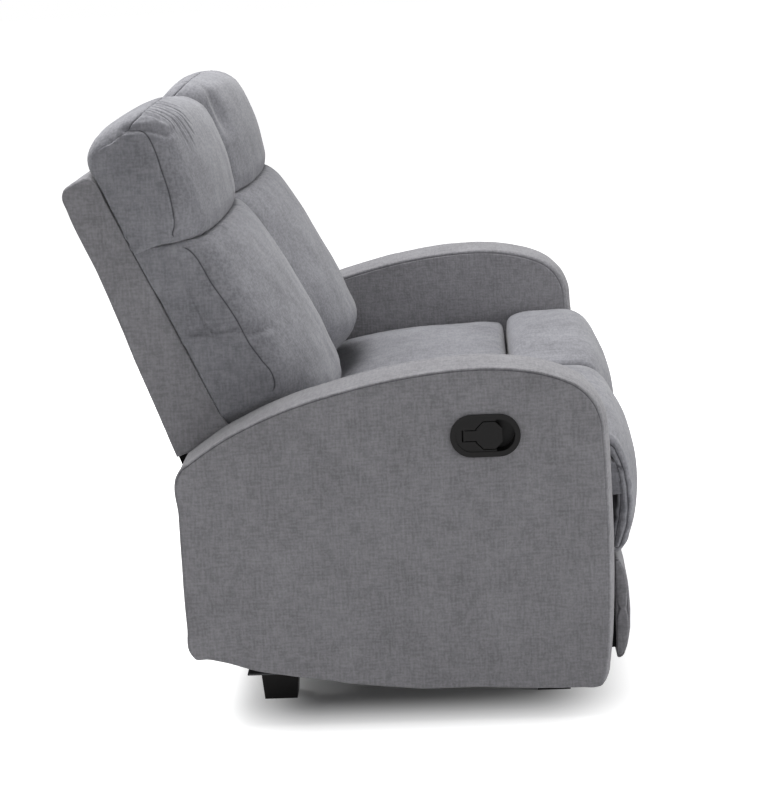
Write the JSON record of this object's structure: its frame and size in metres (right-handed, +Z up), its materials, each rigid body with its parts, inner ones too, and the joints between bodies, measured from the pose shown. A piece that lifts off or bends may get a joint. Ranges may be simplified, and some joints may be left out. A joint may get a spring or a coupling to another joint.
{
  "type": "reclining sofa",
  "caption": "Two-seat upholstered reclining sofa with thin boxed arms, padded headrests, oval release handles and fold-out footrests.",
  "frame": {"origin": "on the floor, under the middle of the whole sofa", "axes": "+Z up, the front looks towards -Y, +X towards the sitter's left"},
  "size_m": [1.448, 0.9794, 1.0594],
  "materials": {
    "body_fabric": "matt mid-grey short-pile woven upholstery",
    "seat_fabric": "matt mid-grey short-pile woven upholstery over padding",
    "lining_cloth": "black non-woven lining",
    "mechanism_steel": "black painted pressed steel and tube",
    "spring_steel": "dark drawn spring wire",
    "frame_wood": "raw plywood and softwood",
    "black_plastic": "satin black moulded plastic"
  },
  "bodies": {
    "base": {"rear_rail": "body_fabric", "base_frame_right": "mechanism_steel", "foot_front_outer_right": "black_plastic", "foot_front_inner_right": "black_plastic", "foot_rear_outer_right": "black_plastic", "foot_rear_inner_right": "black_plastic", "arm_cover_right": "body_fabric", "arm_frame_right": "frame_wood", "arm_board_right": "frame_wood", "release_cable_right": "black_plastic", "handle_bezel_right": "black_plastic", "base_frame_left": "mechanism_steel", "foot_front_outer_left": "black_plastic", "foot_front_inner_left": "black_plastic", "foot_rear_outer_left": "black_plastic", "foot_rear_inner_left": "black_plastic", "arm_cover_left": "body_fabric", "arm_frame_left": "frame_wood", "arm_board_left": "frame_wood", "release_cable_left": "black_plastic", "handle_bezel_left": "black_plastic"},
    "seat_right": {"seat_frame_right": "frame_wood", "seat_plate_outer_right": "mechanism_steel", "seat_plate_inner_right": "mechanism_steel", "spring_unit_right": "spring_steel", "rear_seat_pad_right": "seat_fabric", "front_seat_pad_right": "seat_fabric"},
    "back_right": {"back_brackets_right": "mechanism_steel", "back_shell_right": "body_fabric", "back_frame_right": "frame_wood", "back_cushion_right": "seat_fabric", "headrest_right": "seat_fabric", "back_lining_right": "lining_cloth"},
    "drive_right": {"drive_links_right": "mechanism_steel"},
    "parallel_right": {"parallel_links_right": "mechanism_steel"},
    "carrier_right": {"ottoman_links_right": "mechanism_steel"},
    "footrest_right": {"ottoman_frame_right": "frame_wood", "ottoman_pad_right": "seat_fabric"},
    "flap_right": {"seat_flap_right": "seat_fabric"},
    "handle_right": {"handle_paddle_right": "black_plastic"},
    "seat_left": {"seat_frame_left": "frame_wood", "seat_plate_outer_left": "mechanism_steel", "seat_plate_inner_left": "mechanism_steel", "spring_unit_left": "spring_steel", "rear_seat_pad_left": "seat_fabric", "front_seat_pad_left": "seat_fabric"},
    "back_left": {"back_brackets_left": "mechanism_steel", "back_shell_left": "body_fabric", "back_frame_left": "frame_wood", "back_cushion_left": "seat_fabric", "headrest_left": "seat_fabric", "back_lining_left": "lining_cloth"},
    "drive_left": {"drive_links_left": "mechanism_steel"},
    "parallel_left": {"parallel_links_left": "mechanism_steel"},
    "carrier_left": {"ottoman_links_left": "mechanism_steel"},
    "footrest_left": {"ottoman_frame_left": "frame_wood", "ottoman_pad_left": "seat_fabric"},
    "flap_left": {"seat_flap_left": "seat_fabric"},
    "handle_left": {"handle_paddle_left": "black_plastic"}
  },
  "joints": [
    {"name": "seat_slide_right", "type": "slide", "parent": "base", "child": "seat_right", "axis": [0, -1, 0], "range_m": [0, 0.06]},
    {"name": "back_recline_right", "type": "hinge", "parent": "seat_right", "child": "back_right", "pos_m": [-0.296, 0.18462, 0.275], "axis": [-1, 0, 0], "range_deg": [0, 35]},
    {"name": "footrest_right", "type": "hinge", "parent": "seat_right", "child": "drive_right", "pos_m": [-0.296, -0.26538, 0.262], "axis": [-1, 0, 0], "range_deg": [0, 127]},
    {"name": "parallel_link_right", "type": "hinge", "parent": "seat_right", "child": "parallel_right", "pos_m": [-0.296, -0.32882, 0.29158], "axis": [-1, 0, 0], "range_deg": [0, 127]},
    {"name": "carrier_link_right", "type": "hinge", "parent": "drive_right", "child": "carrier_right", "pos_m": [-0.296, -0.14662, 0.07167], "axis": [-1, 0, 0], "range_deg": [-127, 0]},
    {"name": "footrest_tilt_right", "type": "hinge", "parent": "carrier_right", "child": "footrest_right", "pos_m": [-0.296, -0.40038, 0.19], "axis": [-1, 0, 0], "range_deg": [0, 87]},
    {"name": "seat_flap_right", "type": "hinge", "parent": "seat_right", "child": "flap_right", "pos_m": [-0.296, -0.47038, 0.44], "axis": [-1, 0, 0], "range_deg": [0, 88]},
    {"name": "handle_right", "type": "hinge", "parent": "base", "child": "handle_right", "pos_m": [-0.7183, -0.17888, 0.502], "axis": [0, 0, -1], "range_deg": [0, 25], "stiffness_Nm_per_rad": 0.3},
    {"name": "seat_slide_left", "type": "slide", "parent": "base", "child": "seat_left", "axis": [0, -1, 0], "range_m": [0, 0.06]},
    {"name": "back_recline_left", "type": "hinge", "parent": "seat_left", "child": "back_left", "pos_m": [0.296, 0.18462, 0.275], "axis": [-1, 0, 0], "range_deg": [0, 35]},
    {"name": "footrest_left", "type": "hinge", "parent": "seat_left", "child": "drive_left", "pos_m": [0.296, -0.26538, 0.262], "axis": [-1, 0, 0], "range_deg": [0, 127]},
    {"name": "parallel_link_left", "type": "hinge", "parent": "seat_left", "child": "parallel_left", "pos_m": [0.296, -0.32882, 0.29158], "axis": [-1, 0, 0], "range_deg": [0, 127]},
    {"name": "carrier_link_left", "type": "hinge", "parent": "drive_left", "child": "carrier_left", "pos_m": [0.296, -0.14662, 0.07167], "axis": [-1, 0, 0], "range_deg": [-127, 0]},
    {"name": "footrest_tilt_left", "type": "hinge", "parent": "carrier_left", "child": "footrest_left", "pos_m": [0.296, -0.40038, 0.19], "axis": [-1, 0, 0], "range_deg": [0, 87]},
    {"name": "seat_flap_left", "type": "hinge", "parent": "seat_left", "child": "flap_left", "pos_m": [0.296, -0.47038, 0.44], "axis": [-1, 0, 0], "range_deg": [0, 88]},
    {"name": "handle_left", "type": "hinge", "parent": "base", "child": "handle_left", "pos_m": [0.7183, -0.17888, 0.502], "axis": [0, 0, 1], "range_deg": [0, 25], "stiffness_Nm_per_rad": 0.3}
  ],
  "couplings": [
    {"joint": "seat_slide_right", "follows": "back_recline_right", "m_per_rad": 0.098221},
    {"joint": "parallel_link_right", "follows": "footrest_right", "ratio": 1},
    {"joint": "carrier_link_right", "follows": "footrest_right", "ratio": -1},
    {"joint": "footrest_tilt_right", "follows": "footrest_right", "ratio": 0.685},
    {"joint": "seat_flap_right", "follows": "footrest_right", "ratio": 0.692},
    {"joint": "seat_slide_left", "follows": "back_recline_left", "m_per_rad": 0.098221},
    {"joint": "parallel_link_left", "follows": "footrest_left", "ratio": 1},
    {"joint": "carrier_link_left", "follows": "footrest_left", "ratio": -1},
    {"joint": "footrest_tilt_left", "follows": "footrest_left", "ratio": 0.685},
    {"joint": "seat_flap_left", "follows": "footrest_left", "ratio": 0.692}
  ]
}
